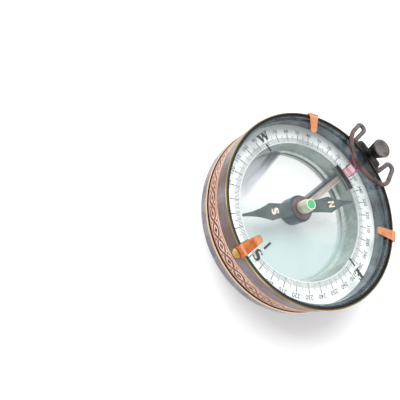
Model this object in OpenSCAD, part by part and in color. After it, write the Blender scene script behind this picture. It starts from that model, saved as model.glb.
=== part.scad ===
// Map reading compass: a drum case with a deep annular dial, a magnifier
// lens in its floor, a needle on a bracket arm, and a bow on a side lug.
// Millimetres, +Z up, +Y towards north on the dial. The origin is on the
// case's axis, in the plane of the base ring's foot.

/* [Case] */
// Outer diameter of the bezel at the rim
case_d = 76; // [66:0.5:96]
// Height of the rim above the foot
case_h = 22; // [21:0.25:30]
// Height of the base ring
base_h = 5.2; // [4.6:0.1:6]
// How far the base ring stands out past the bezel, on the radius
base_step = 0.9; // [0.6:0.1:2]
// Bright bevel round the top of the base ring
base_bevel = 0.4; // [0.2:0.05:0.8]
// Thickness of the bezel wall
bezel_wall = 0.65; // [0.5:0.05:1.2]
// Thickness of the case barrel
barrel_wall = 0.6; // [0.5:0.05:1.2]
// How far the barrel's top lies below the rim
rim_groove = 1.1; // [0.6:0.1:1.2]
// Height of the engraved band
band_h = 8.4; // [5:0.1:9.5]
// Thickness of the engraved band
band_t = 0.85; // [0.7:0.05:1.4]
// Dark gap between the base ring and the band
band_gap = 0.5; // [0.2:0.1:1]
// Height of the spigot that centres the barrel on the base ring
spigot_h = 1.8; // [1:0.1:3]
// Thickness of that spigot
spigot_t = 0.7; // [0.5:0.1:1.5]

/* [Lens] */
// How far the lens's edge lies outside the well's wall
lens_lip = 0.2; // [0.1:0.05:0.6]
// Thickness of the lens at its edge
lens_edge = 1.2; // [0.8:0.1:1.5]
// How far the lens bulges downwards
lens_bulge = 1.3; // [0.8:0.1:1.8]
// Width of the ledge that carries the lens
lens_ledge = 1.2; // [0.8:0.1:2]
// Thickness of the gasket under the lens
gasket_t = 0.3; // [0.2:0.05:0.4]
// Height of the bright ring that holds the lens down
retainer_t = 2; // [1.4:0.1:2.3]

/* [Dial] */
// Width of the dial's ring
dial_w = 8.55; // [6:0.05:11]
// Wall of that well
well_wall = 1.2; // [0.8:0.1:2]
// Depth of the dial's face below the rim
dial_drop = 9.3; // [8:0.1:9.8]
// Thickness of the dial
dial_t = 0.65; // [0.4:0.05:1]
// Thickness of the flange that carries the dial
flange_t = 0.8; // [0.5:0.1:1.2]

/* [Glass] */
// Depth of the cover glass's top below the rim
glass_drop = 0.7; // [0.3:0.1:1.2]
// Thickness of the cover glass
glass_t = 2.3; // [1:0.1:2.6]
// Gap round the cover glass
glass_gap = 0.3; // [0.1:0.05:0.5]
// Height of the ring that the glass rests on
seat_h = 0.7; // [0.5:0.1:1.2]
// Width of that ring
seat_w = 0.9; // [0.6:0.1:1.5]

/* [Clips] */
// Bearing of the first clip, counterclockwise from north
clip_bearing_a = 46.5; // [40:0.5:60]
// Bearing of the second clip
clip_bearing_b = 172; // [160:0.5:190]
// Bearing of the third clip
clip_bearing_c = 304.5; // [290:0.5:320]
// Width of a clip at the rim
clip_w = 4.2; // [3:0.1:5]
// Width of a clip at its tip
clip_tip_w = 2.9; // [2:0.1:4]
// Thickness of a clip
clip_t = 0.65; // [0.4:0.05:1]
// How far the first clip reaches inwards from the rim's outer edge
clip_reach_a = 8.1; // [6:0.1:12]
// How far the second clip reaches
clip_reach_b = 9.5; // [6:0.1:12]
// How far the third clip reaches
clip_reach_c = 8.3; // [6:0.1:12]
// Length of a clip's leg down the bezel
clip_leg = 4; // [3.4:0.1:6]
// Diameter of a clip screw's head
screw_head_d = 3.5; // [3:0.1:4.5]
// Height of that head
screw_head_h = 1.2; // [0.8:0.1:1.6]
// Diameter of a clip screw's shank
screw_d = 1.6; // [1:0.1:2]
// Distance of a clip screw below the rim
screw_drop = 2.2; // [2.1:0.1:3]

/* [Pivot bracket] */
// Bearing of the bracket's arm, counterclockwise from north
arm_bearing = -2.5; // [-10:0.5:10]
// Width of the bracket's arm
arm_w = 3.7; // [2.5:0.1:6]
// Gap between the lens and the hub's underside
hub_lift = 0.3; // [0.2:0.1:0.8]
// Gap between the base ring's top and the arm's underside
arm_lift = 0.3; // [0.1:0.1:1]
// Diameter of the pivot hub
hub_d = 11; // [8:0.1:14]
// Height of the hub's top below the dial's face
hub_drop = 1.4; // [1.2:0.1:2.4]
// Bright bevel round the hub's top
hub_bevel = 0.45; // [0.2:0.05:0.8]
// How far the arm's top lies below the hub's top
arm_drop = 0.3; // [0.2:0.1:1]
// Thickness of the curved foot that fixes the arm to the well
foot_t = 0.9; // [0.8:0.1:2]
// Metal left on the foot's inner face in front of a screw
foot_skin = 0.3; // [0.2:0.1:0.5]
// Height of the foot below the arm's top
foot_h = 2.4; // [2.4:0.1:5]
// Bearing of the foot's middle, counterclockwise from north
foot_bearing = -5; // [-10:0.5:5]
// Half of the angle that the foot spans
foot_half_angle = 12; // [10:0.5:20]
// Thickness of the clip on the foot that laps over the dial
lap_t = 0.35; // [0.25:0.05:0.45]
// How far that clip laps over the dial
lap_w = 1.2; // [1:0.1:2.5]
// Half of the angle between the two screws of the foot
foot_screw_angle = 8.5; // [6.5:0.5:10]
// Diameter of a foot screw's shank
foot_screw_d = 1.2; // [0.8:0.1:1.6]
// Diameter of a foot screw's head
foot_screw_head_d = 2.2; // [1.8:0.1:3]
// Thickness of that head
foot_screw_head_t = 0.7; // [0.4:0.1:1]
// Diameter of the pivot pin
pin_d = 1.2; // [0.8:0.1:1.6]
// Depth of the pivot pin in the hub
pin_depth = 4.2; // [3:0.1:5]

/* [Needle] */
// Bearing of the needle at rest, counterclockwise from north
needle_bearing = -28.3; // [-60:0.1:60]
// Gap between the needle's tips and the well's wall
needle_tip_gap = 0.8; // [0.6:0.1:6]
// Thickness of the needle
needle_t = 0.5; // [0.3:0.05:0.7]
// Running gap between the hub and the needle
needle_gap = 0.25; // [0.15:0.05:0.4]
// Greatest width of the needle
needle_w = 6.9; // [4:0.1:9]
// Width of the needle at its waist by the hub
waist_w = 4.8; // [3.5:0.1:6]
// Width of the needle's tips
tip_w = 1.1; // [0.6:0.1:2]
// Distance of the widest point from the pivot
needle_wide_at = 14.6; // [10:0.1:18]
// Diameter of the collar on the needle
collar_d = 9.6; // [7:0.1:11]
// Thickness of the collar
collar_t = 0.85; // [0.5:0.05:1.2]
// How far the collar's shoulder lies below its top
collar_shoulder = 0.28; // [0.15:0.01:0.35]
// Diameter of the cap's foot
cap_d = 5.6; // [5:0.1:7]
// Diameter of the cap's top
cap_top_d = 4.2; // [3.8:0.1:4.8]
// Height of the upright rim round the jewel
cap_rim_h = 0.45; // [0.3:0.05:0.8]
// How far the cap's neck lies inside that rim
cap_neck = 0.15; // [0.05:0.05:0.3]
// Width of the step on the collar round the cap's foot
cap_step = 0.35; // [0.2:0.05:0.6]
// Clear height between the cap and the cover glass
cap_clear = 0.5; // [0.5:0.1:2]
// Diameter of the green jewel
jewel_d = 3.4; // [2.4:0.1:3.6]
// Thickness of the jewel's rim
jewel_t = 0.45; // [0.3:0.05:0.6]
// Height of the jewel's crown
jewel_crown = 0.2; // [0.1:0.05:0.3]

/* [Lug and knob] */
// How far the lug's middle lies east of north
lug_x = 0.7; // [-2:0.1:2]
// Length of the lug bar along the rim
lug_l = 14; // [12:0.1:20]
// Thickness of the lug bar, out from the bezel
lug_t = 3.3; // [3.1:0.1:5]
// Height of the lug bar
lug_h = 3.6; // [3.3:0.1:6]
// Diameter of the knob's face
knob_d = 8.4; // [7:0.1:10]
// Diameter of the knob's foot
knob_foot_d = 5.6; // [4:0.1:6.5]
// Height of the plain lip round the knob's face
knob_lip = 0.5; // [0.3:0.1:0.8]
// How far that lip stands out past the flutes
knob_lip_step = 0.08; // [0.04:0.02:0.2]
// Height of the knob
knob_h = 5.6; // [4:0.1:5.8]
// Diameter of the knob's neck
neck_d = 3; // [2.2:0.1:3.2]
// Length of the knob's neck
neck_h = 2.1; // [1.5:0.1:2.3]
// Number of flutes round the knob
knob_flutes = 36; // [24:1:44]
// Depth of the flutes
flute_depth = 0.25; // [0.1:0.05:0.4]
// Diameter of the knob's spindle
spindle_d = 1.8; // [1.2:0.1:2]

/* [Bow] */
// Diameter of the bow's wire
wire_d = 2; // [1.4:0.1:2.2]
// Radius of the bow's arch, to the wire's centreline
arch_r = 14.4; // [14:0.1:15.5]
// Reach of the arch from the bow's pivot
bow_reach = 12.4; // [12.2:0.1:13.4]
// How far the arch's middle lies east of the lug's
arch_x = 1.8; // [0:0.1:2.2]
// Radius of the bend at the arch's east end
east_bend_r = 7.2; // [5:0.1:9]
// Angle at which the arch meets that bend
east_bend_angle = -50.5; // [-56:0.5:-46]
// Radius of the bend at the arch's west end
west_bend_r = 12.9; // [10:0.1:13.4]
// Angle at which the arch meets that bend
west_bend_angle = -26.5; // [-32:0.5:-24]
// Height of the bow's loop above its pivot
bow_rise = 2.6; // [2.6:0.1:3.2]
// Angle that the folded bow leans up towards the glass's centre
bow_lie = 8; // [6:1:12]
// Radius of the curls, to the wire's centreline
curl_r = 1.8; // [1.5:0.1:2]
// Distance of the east curl's middle from the lug's middle
east_curl_x = 10.3; // [10:0.1:11]
// How far that curl's middle lies outside the pivot
east_curl_y = 4.1; // [3.6:0.1:5]
// Distance of the west curl's middle from the lug's middle
west_curl_x = 10.9; // [10:0.1:11]
// How far that curl's middle lies outside the pivot
west_curl_y = 5.1; // [3.6:0.1:5.2]
// Gap between the lug's ends and the bow's elbows
elbow_gap = 0.4; // [0.3:0.1:0.6]
// How much fuller the wire's knuckles are than the wire, on the radius
knuckle = 0.05; // [0.02:0.01:0.1]
// Depth of the bow's ends in the lug
bow_pin_depth = 2.3; // [1.5:0.1:3]

/* [Hidden] */
$fn = 96;

// Gap between pieces that are pressed or soldered together
fit_gap = 0.05;
// Gap round a shank in its hole
shank_gap = 0.05;
// Gap round a pin that turns in its bore
run_gap = 0.05;
// Gap round a pin that is pressed into its hole
press_gap = 0.02;
// Space past the end of a pin or shank in its hole
end_gap = 0.2;
// Overlap that makes a cut clean
cut = 0.5;
// Overlap that joins two solids of one piece
fuse = 0.1;
// Bevels of the engraved band, the rim, the clips and the collar
band_edge = 0.25;
rim_edge = 0.22;
clip_edge = 0.3;
collar_edge = 0.15;
// Gap round the pivot pin in the collar, wider than in the cap
pin_clear = 0.4;
// Thickness of a line that a hull starts from
hull_line = 0.02;
// Length of the sleeve round a joint in the bow's wire
sleeve_l = 0.4;
// Depth of a clip's round tip, as a share of its half-width
tip_round = 0.67;
// How fast the needle swells from its waist, and tapers to its tips
needle_swell = 1.6;
needle_taper = 1.9;
// How late the cap's side draws in to its neck
cap_curve = 1.5;

case_r = case_d / 2;
base_r = case_r + base_step;
barrel_r = case_r - bezel_wall - fit_gap;
bore_r = barrel_r - barrel_wall;
barrel_top = case_h - rim_groove;
band_z = base_h + band_gap;
band_r = barrel_r + fit_gap + band_t;
bezel_z = band_z + band_h + fit_gap;

dial_out_r = bore_r - 2 * fit_gap;
dial_in_r = dial_out_r - dial_w;
well_r = dial_in_r - fit_gap;
well_out_r = well_r + well_wall;

lens_r = well_r + lens_lip;
ledge_r = lens_r - lens_ledge;
bulge_r = ledge_r - 2 * fit_gap;
retainer_r = lens_r + fit_gap;
retainer_z = base_h - retainer_t;
lens_top = retainer_z - fit_gap;
lens_edge_z = lens_top - lens_edge;
gasket_z = lens_edge_z - gasket_t;
lens_sphere_r = (bulge_r * bulge_r + lens_bulge * lens_bulge) / (2 * lens_bulge);

dial_z = case_h - dial_drop;
dial_under = dial_z - dial_t;
flange_z = dial_under - flange_t - fit_gap;

glass_r = bore_r - glass_gap;
glass_top = case_h - glass_drop;
glass_z = glass_top - glass_t;

clip_bearings = [clip_bearing_a, clip_bearing_b, clip_bearing_c];
clip_out_r = case_r + fit_gap + clip_t;
screw_z = case_h - screw_drop;
shank_in_r = bore_r + end_gap;

hub_r = hub_d / 2;
hub_z = lens_top + hub_lift;
hub_top = dial_z - hub_drop;
arm_top = hub_top - arm_drop;
arm_low = base_h + arm_lift;
foot_out_r = well_r - fit_gap;
foot_in_r = foot_out_r - foot_t;
foot_z = arm_top - foot_h;
foot_screw_z = (foot_z + arm_top) / 2;
foot_screw_bearings = [foot_bearing - foot_screw_angle, foot_bearing + foot_screw_angle];
lap_z = dial_z + fit_gap;

needle_half_l = well_r - needle_tip_gap;
needle_z = hub_top + needle_gap;
needle_top = needle_z + needle_t;
collar_z = needle_top;
cap_z = collar_z + collar_t;
cap_top = glass_z - cap_clear;
cap_r = cap_d / 2;
cap_top_r = cap_top_d / 2;
jewel_r = jewel_d / 2;
jewel_z = cap_top - jewel_t;
pin_r = pin_d / 2;
pin_tip_z = jewel_z - 2 * run_gap;
pin_point_l = pin_d;

lug_z = case_h - lug_h;
lug_mid_y = case_r + lug_t / 2;
lug_out_y = case_r + fit_gap + lug_t;
pivot_z = lug_z + lug_h / 2;
wire_r = wire_d / 2;
arch_y = arch_r - bow_reach;
spindle_r = spindle_d / 2;
knob_z = case_h + neck_h;
knob_top = knob_z + knob_h;

// Turns what is drawn on the +Y side to a bearing counterclockwise from north
module at_bearing(angle) {
    rotate([0, 0, angle]) children();
}

// A flat ring between two radii and two heights
module ring(r_in, r_out, z_low, z_high) {
    rotate_extrude()
        translate([r_in, z_low])
            square([r_out - r_in, z_high - z_low]);
}

// A radial cylinder that points out along +Y, from one radius to another
module radial_rod(r, y_low, y_high, z) {
    translate([0, y_low, z])
        rotate([-90, 0, 0])
            cylinder(r = r, h = y_high - y_low);
}

// The holes that the three clip screws pass through
module clip_screw_holes() {
    for (bearing = clip_bearings)
        at_bearing(bearing)
            radial_rod(screw_d / 2 + shank_gap, bore_r - cut, clip_out_r + cut, screw_z);
}

// The holes for the bracket's two screws, from one radius to another
module foot_screw_holes(y_low, y_high) {
    for (bearing = foot_screw_bearings)
        at_bearing(bearing)
            radial_rod(foot_screw_d / 2 + shank_gap, y_low, y_high, foot_screw_z);
}

// Case

module base_ring() {
    color("#6d6a6e")
        rotate_extrude()
            polygon([
                [ledge_r, 0],
                [base_r, 0],
                [base_r, base_h - base_bevel],
                [base_r - base_bevel, base_h],
                [bore_r - fit_gap, base_h],
                [bore_r - fit_gap, base_h + spigot_h],
                [bore_r - fit_gap - spigot_t, base_h + spigot_h],
                [bore_r - fit_gap - spigot_t, base_h],
                [retainer_r + fit_gap, base_h],
                [retainer_r + fit_gap, gasket_z],
                [ledge_r, gasket_z]
            ]);
}

module case_barrel() {
    color("#39444b")
        difference() {
            ring(bore_r, barrel_r, base_h + fit_gap, barrel_top);
            clip_screw_holes();
        }
}

module engraved_band() {
    color("#d8906f")
        rotate_extrude()
            polygon([
                [barrel_r + fit_gap, band_z],
                [band_r - band_edge, band_z],
                [band_r, band_z + band_edge],
                [band_r, band_z + band_h - band_edge],
                [band_r - band_edge, band_z + band_h],
                [barrel_r + fit_gap, band_z + band_h]
            ]);
}

module bezel_ring() {
    color("#6f6470")
        difference() {
            rotate_extrude()
                polygon([
                    [barrel_r + fit_gap, bezel_z],
                    [case_r, bezel_z],
                    [case_r, case_h - rim_edge],
                    [case_r - rim_edge, case_h],
                    [barrel_r + fit_gap, case_h]
                ]);
            clip_screw_holes();
        }
}

// Lens in the floor

module lens_gasket() {
    color("#202224")
        ring(ledge_r, lens_r, gasket_z, lens_edge_z - fit_gap / 2);
}

module magnifier_lens() {
    steps = 24;
    sphere_z = lens_edge_z - lens_bulge + lens_sphere_r;
    color("#cfeeea", 0.4)
        rotate_extrude()
            polygon(concat(
                [[0, lens_top], [0, lens_edge_z - lens_bulge]],
                [for (i = [1 : steps])
                    let (x = bulge_r * i / steps)
                    [x, sphere_z - sqrt(lens_sphere_r * lens_sphere_r - x * x)]],
                [[lens_r, lens_edge_z], [lens_r, lens_top]]
            ));
}

module lens_retainer() {
    color("#7d8a84")
        ring(ledge_r + fit_gap, retainer_r, retainer_z, base_h);
}

// Dial

module dial_carrier() {
    color("#97a39b")
        difference() {
            union() {
                ring(well_r, well_out_r, base_h + fit_gap, flange_z + flange_t);
                ring(well_r, dial_out_r, flange_z, flange_z + flange_t);
            }
            foot_screw_holes(foot_in_r, well_out_r + cut);
        }
}

module dial_ring() {
    color("#f2f5f4")
        ring(dial_in_r, dial_out_r, dial_under, dial_z);
}

// Cover glass and its clips

module glass_seat() {
    color("#39444b")
        ring(bore_r - fit_gap - seat_w, bore_r - fit_gap, glass_z - fit_gap - seat_h,
             glass_z - fit_gap);
}

module cover_glass() {
    color("#e6f6f6", 0.3)
        ring(0, glass_r, glass_z, glass_top);
}

// A clip's side view, with the radius along X and the height along Y
module clip_profile(clip_tip_r) {
    leg_low = case_h - clip_leg;
    over_z = case_h + fit_gap;
    bend_r = case_r - bezel_wall;
    tip_z = glass_top + fit_gap;
    polygon([
        [case_r + fit_gap, leg_low],
        [clip_out_r, leg_low],
        [clip_out_r, over_z + clip_t - clip_edge],
        [clip_out_r - clip_edge, over_z + clip_t],
        [bend_r - clip_edge, over_z + clip_t],
        [clip_tip_r, tip_z + clip_t],
        [clip_tip_r, tip_z],
        [bend_r, over_z],
        [case_r + fit_gap, over_z]
    ]);
}

// A clip's view from above, tapered towards a round tip
module clip_plan(clip_tip_r) {
    hull() {
        for (y = [clip_out_r, case_r - bezel_wall])
            translate([0, y])
                square([clip_w, hull_line], center = true);
        translate([0, clip_tip_r + tip_round * clip_tip_w / 2])
            scale([1, tip_round])
                circle(d = clip_tip_w, $fn = 32);
    }
}

module glass_clip(bearing, reach) {
    clip_tip_r = case_r - reach;
    color("#e07b3c")
        at_bearing(bearing)
            difference() {
                intersection() {
                    translate([-clip_w, 0, 0])
                        rotate([90, 0, 90])
                            linear_extrude(2 * clip_w)
                                clip_profile(clip_tip_r);
                    linear_extrude(case_h + 2 * clip_t)
                        clip_plan(clip_tip_r);
                }
                radial_rod(screw_d / 2 + shank_gap, case_r - cut, clip_out_r + cut, screw_z);
            }
}

module clip_screws() {
    color("#d9b65a")
        for (bearing = clip_bearings)
            at_bearing(bearing) {
                radial_rod(screw_d / 2, shank_in_r, clip_out_r + fit_gap + fuse, screw_z);
                translate([0, clip_out_r + fit_gap, screw_z])
                    rotate([-90, 0, 0])
                        dome(screw_head_d / 2, screw_head_h);
            }
}

// A dome whose flat side lies in the XY plane
module dome(r, h) {
    dome_r = (r * r + h * h) / (2 * h);
    intersection() {
        translate([0, 0, h - dome_r])
            sphere(r = dome_r);
        cylinder(r = 2 * r, h = 2 * h);
    }
}

// Pivot bracket

module foot_sector(r_in, r_out, z_low, z_high) {
    rotate([0, 0, 90 - foot_half_angle])
        rotate_extrude(angle = 2 * foot_half_angle)
            translate([r_in, z_low])
                square([r_out - r_in, z_high - z_low]);
}

module pivot_arm() {
    color("#6e5f5c")
        difference() {
            union() {
                at_bearing(arm_bearing)
                    translate([-arm_w / 2, 0, arm_low])
                        cube([arm_w, foot_in_r + foot_t / 2, arm_top - arm_low]);
                at_bearing(foot_bearing) {
                    foot_sector(foot_in_r, foot_out_r, foot_z, arm_top);
                    foot_sector(foot_out_r - lap_t, foot_out_r, foot_z, lap_z + lap_t);
                    foot_sector(foot_out_r - lap_t, dial_in_r + lap_w, lap_z, lap_z + lap_t);
                }
            }
            translate([0, 0, arm_low - cut])
                cylinder(r = hub_r + fit_gap, h = arm_top - arm_low + 2 * cut);
            foot_screw_holes(foot_in_r + foot_skin, foot_out_r + cut);
        }
}

module arm_screws() {
    head_y = well_out_r + fit_gap;
    color("#8d8f92")
        for (bearing = foot_screw_bearings)
            at_bearing(bearing) {
                radial_rod(foot_screw_d / 2, foot_in_r + foot_skin + fit_gap, head_y + fuse,
                           foot_screw_z);
                radial_rod(foot_screw_head_d / 2, head_y, head_y + foot_screw_head_t,
                           foot_screw_z);
            }
}

module pivot_hub() {
    color("#454d54")
        difference() {
            rotate_extrude()
                polygon([
                    [0, hub_z],
                    [hub_r - hub_bevel / 2, hub_z],
                    [hub_r, hub_z + hub_bevel / 2],
                    [hub_r, hub_top - hub_bevel],
                    [hub_r - hub_bevel, hub_top],
                    [0, hub_top]
                ]);
            translate([0, 0, hub_top - pin_depth])
                cylinder(r = pin_r + press_gap, h = pin_depth + cut);
        }
}

module pivot_pin() {
    pin_foot_z = hub_top - pin_depth + fit_gap;
    color("#b9bec2")
        rotate_extrude()
            polygon([
                [0, pin_foot_z],
                [pin_r, pin_foot_z],
                [pin_r, pin_tip_z - pin_point_l],
                [0, pin_tip_z]
            ]);
}

// Needle and what turns with it

// Half-width of the needle at a distance from the pivot
function needle_half(y) =
    let (waist_y = collar_d / 2, tip_y = needle_half_l)
    y < waist_y ? waist_w / 2
    : y < needle_wide_at
        ? waist_w / 2 + (needle_w - waist_w) / 2
              * pow((y - waist_y) / (needle_wide_at - waist_y), needle_swell)
        : tip_w / 2 + (needle_w - tip_w) / 2
              * pow((tip_y - y) / (tip_y - needle_wide_at), needle_taper);

module needle_outline() {
    steps = 16;
    tip_y = needle_half_l;
    waist_y = collar_d / 2;
    ys = concat(
        [0],
        [for (i = [0 : steps]) waist_y + (needle_wide_at - waist_y) * i / steps],
        [for (i = [1 : steps]) needle_wide_at + (tip_y - tip_w / 2 - needle_wide_at) * i / steps]
    );
    for (side = [0, 1])
        mirror([0, side]) {
            polygon(concat(
                [for (y = ys) [needle_half(y), y]],
                [for (i = [len(ys) - 1 : -1 : 0]) [-needle_half(ys[i]), ys[i]]]
            ));
            translate([0, tip_y - tip_w / 2])
                circle(d = tip_w, $fn = 24);
        }
}

module needle() {
    color("#51605f")
        at_bearing(needle_bearing)
            difference() {
                translate([0, 0, needle_z])
                    linear_extrude(needle_t)
                        needle_outline();
                translate([0, 0, needle_z - cut])
                    cylinder(r = pin_r + pin_clear, h = needle_t + 2 * cut);
            }
}

module needle_collar() {
    step_r = cap_r + cap_step;
    step_z = cap_z - collar_shoulder;
    color("#6d5f6b")
        rotate_extrude()
            polygon([
                [pin_r + pin_clear, collar_z],
                [collar_d / 2, collar_z],
                [collar_d / 2, step_z - collar_edge],
                [collar_d / 2 - collar_edge, step_z],
                [step_r, step_z],
                [step_r, cap_z],
                [pin_r + pin_clear, cap_z]
            ]);
}

// The cap narrows in a smooth curve from its foot to a neck under its rim
module needle_cap() {
    steps = 20;
    neck_r = cap_top_r - cap_neck;
    curve_h = cap_top - cap_rim_h - cap_z;
    color("#dcc98a")
        rotate_extrude()
            polygon(concat(
                [[pin_r + run_gap, cap_z]],
                [for (i = [0 : steps])
                    let (t = i / steps)
                    [neck_r + (cap_r - neck_r) * cos(90 * pow(t, cap_curve)), cap_z + curve_h * t]],
                [
                    [cap_top_r, cap_top - cap_rim_h],
                    [cap_top_r, cap_top],
                    [jewel_r + fit_gap, cap_top],
                    [jewel_r + fit_gap, jewel_z],
                    [pin_r + run_gap, jewel_z]
                ]
            ));
}

module cap_jewel() {
    color("#31d18b")
        union() {
            translate([0, 0, jewel_z])
                cylinder(r = jewel_r, h = jewel_t);
            translate([0, 0, cap_top])
                dome(jewel_r, jewel_crown);
        }
}

// Lug, knob and bow

module bow_lug() {
    end_r = lug_h / 2;
    depth = lug_out_y - case_r + lug_t;
    color("#6b6265")
        difference() {
            translate([lug_x, lug_out_y, pivot_z])
                rotate([90, 0, 0])
                    union() {
                        translate([end_r - lug_l / 2, -end_r, 0])
                            cube([lug_l - 2 * end_r, lug_h, depth]);
                        for (side = [-1, 1])
                            translate([side * (lug_l / 2 - end_r), 0, 0])
                                cylinder(r = end_r, h = depth);
                    }
            translate([0, 0, lug_z - cut])
                cylinder(r = case_r + fit_gap, h = lug_h + 2 * cut);
            for (side = [-1, 1])
                translate([lug_x + side * (lug_l / 2 - bow_pin_depth - end_gap), lug_mid_y,
                           pivot_z])
                    rotate([0, side * 90, 0])
                        cylinder(r = wire_r + run_gap, h = bow_pin_depth + end_gap + cut);
            translate([lug_x, lug_mid_y, lug_z - cut])
                cylinder(r = spindle_r + run_gap, h = lug_h + 2 * cut);
        }
}

// A straight run of wire between two points
module wire_run(from, to) {
    run = to - from;
    translate(from)
        rotate([0, acos(run[2] / norm(run)), atan2(run[1], run[0])])
            cylinder(r = wire_r, h = norm(run));
}

// A bend of the wire in its own XY plane
module wire_bend(radius, start, sweep) {
    rotate([0, 0, start])
        rotate_extrude(angle = sweep)
            translate([radius, 0])
                circle(r = wire_r, $fn = 48);
}

// The slightly fuller sleeve where two runs of wire meet in line, at an angle from +X
module wire_sleeve(point, angle) {
    translate(point)
        rotate([90, 0, angle])
            cylinder(r = wire_r + knuckle, h = sleeve_l, center = true);
}

// The slightly fuller knuckle where two runs of wire meet at a corner
module wire_knuckle(point) {
    translate(point)
        sphere(r = wire_r + knuckle);
}

// A point of the bow's plan, raised to the loop's height
function raised(point) = [point[0], point[1], bow_rise];

// One side of the bow, from the arch's end to its pin in the lug, drawn as the east side
module bow_side(arch, bend_r, bend_angle, curl) {
    arch_end = arch + arch_r * [cos(bend_angle), sin(bend_angle)];
    bend = arch_end - bend_r * [cos(bend_angle), sin(bend_angle)];
    way = curl - bend;
    touch = atan2(way[1], way[0]) - acos((bend_r - curl_r) / norm(way));
    outward = [cos(touch), sin(touch)];
    side_from = raised(bend + bend_r * outward);
    side_to = raised(curl + curl_r * outward);
    inner = raised(curl - [curl_r, 0]);
    elbow = [lug_l / 2 + wire_r + elbow_gap, 0, 0];
    translate(raised(bend))
        wire_bend(bend_r, bend_angle, touch - bend_angle);
    translate(raised(curl))
        wire_bend(curl_r, touch, 180 - touch);
    wire_run(side_from, side_to);
    wire_run(inner, elbow);
    wire_run([lug_l / 2 - bow_pin_depth, 0, 0], elbow);
    wire_sleeve(raised(arch_end), bend_angle);
    wire_sleeve(side_from, touch);
    wire_sleeve(side_to, touch);
    wire_knuckle(inner);
    wire_knuckle(elbow);
}

// The bow about its own pivot, with its loop level, towards -Y
module bow_wire() {
    arch_start = -180 - west_bend_angle;
    translate([arch_x, arch_y, bow_rise])
        wire_bend(arch_r, arch_start, east_bend_angle - arch_start);
    bow_side([arch_x, arch_y], east_bend_r, east_bend_angle, [east_curl_x, east_curl_y]);
    mirror([1, 0, 0])
        bow_side([-arch_x, arch_y], west_bend_r, west_bend_angle, [west_curl_x, west_curl_y]);
}

module bow() {
    color("#6f5f61")
        translate([lug_x, lug_mid_y, pivot_z])
            rotate([-bow_lie, 0, 0])
                bow_wire();
}

// The fluted outline of the knob, at a given radius
module fluted_circle(r) {
    points = 4 * knob_flutes;
    polygon([for (i = [0 : points - 1])
        let (a = 360 * i / points, d = flute_depth * (1 - cos(a * knob_flutes)) / 2)
        [(r - d) * cos(a), (r - d) * sin(a)]]);
}

module clamp_knob() {
    foot_r = knob_foot_d / 2;
    face_r = knob_d / 2;
    flute_r = face_r - knob_lip_step;
    color("#5b5149")
        translate([lug_x, lug_mid_y, 0])
            difference() {
                union() {
                    translate([0, 0, knob_z])
                        linear_extrude(knob_h - knob_lip + fuse, scale = flute_r / foot_r)
                            fluted_circle(foot_r);
                    translate([0, 0, knob_top - knob_lip])
                        cylinder(r1 = face_r, r2 = face_r - knob_lip / 2, h = knob_lip);
                }
                translate([0, 0, knob_z - cut])
                    cylinder(r = spindle_r + press_gap, h = knob_h / 2 + cut);
            }
}

module clamp_spindle() {
    low_z = lug_z + end_gap;
    head_z = knob_z + knob_h / 2 - fit_gap;
    neck_z = case_h + 2 * run_gap;
    color("#4c4743")
        translate([lug_x, lug_mid_y, 0]) {
            translate([0, 0, low_z])
                cylinder(r = spindle_r, h = head_z - low_z);
            translate([0, 0, neck_z])
                cylinder(r = neck_d / 2, h = knob_z - press_gap - neck_z);
        }
}

base_ring();
case_barrel();
engraved_band();
bezel_ring();
lens_gasket();
magnifier_lens();
lens_retainer();
dial_carrier();
dial_ring();
glass_seat();
cover_glass();
glass_clip(clip_bearing_a, clip_reach_a);  // glass_clip_1
glass_clip(clip_bearing_b, clip_reach_b);  // glass_clip_2
glass_clip(clip_bearing_c, clip_reach_c);  // glass_clip_3
clip_screws();
pivot_arm();
arm_screws();
pivot_hub();
pivot_pin();
needle();
needle_collar();
needle_cap();
cap_jewel();
bow_lug();
bow();
clamp_knob();
clamp_spindle();
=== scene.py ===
import math

import bpy
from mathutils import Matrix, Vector


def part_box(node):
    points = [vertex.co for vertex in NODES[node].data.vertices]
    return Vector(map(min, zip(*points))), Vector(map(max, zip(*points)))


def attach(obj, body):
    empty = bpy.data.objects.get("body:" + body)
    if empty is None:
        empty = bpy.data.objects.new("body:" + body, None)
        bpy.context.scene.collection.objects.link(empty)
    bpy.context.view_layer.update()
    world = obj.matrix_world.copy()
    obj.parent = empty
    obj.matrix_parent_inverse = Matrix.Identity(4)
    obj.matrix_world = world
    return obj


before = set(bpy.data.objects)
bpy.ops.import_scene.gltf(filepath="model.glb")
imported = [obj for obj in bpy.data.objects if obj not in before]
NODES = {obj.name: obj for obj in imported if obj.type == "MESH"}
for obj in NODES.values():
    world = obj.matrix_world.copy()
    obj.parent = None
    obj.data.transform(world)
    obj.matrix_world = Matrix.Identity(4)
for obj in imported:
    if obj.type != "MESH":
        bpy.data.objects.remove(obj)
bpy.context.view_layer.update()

bl_info = {
    "name": "Map Reading Compass",
    "version": (1, 1, 0),
    "blender": (4, 5, 0),
    "location": "View3D > Sidebar > Compass",
    "description": "Marks, finishes and stage for a map reading compass",
    "category": "Object",
}

MM = 0.001

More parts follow.
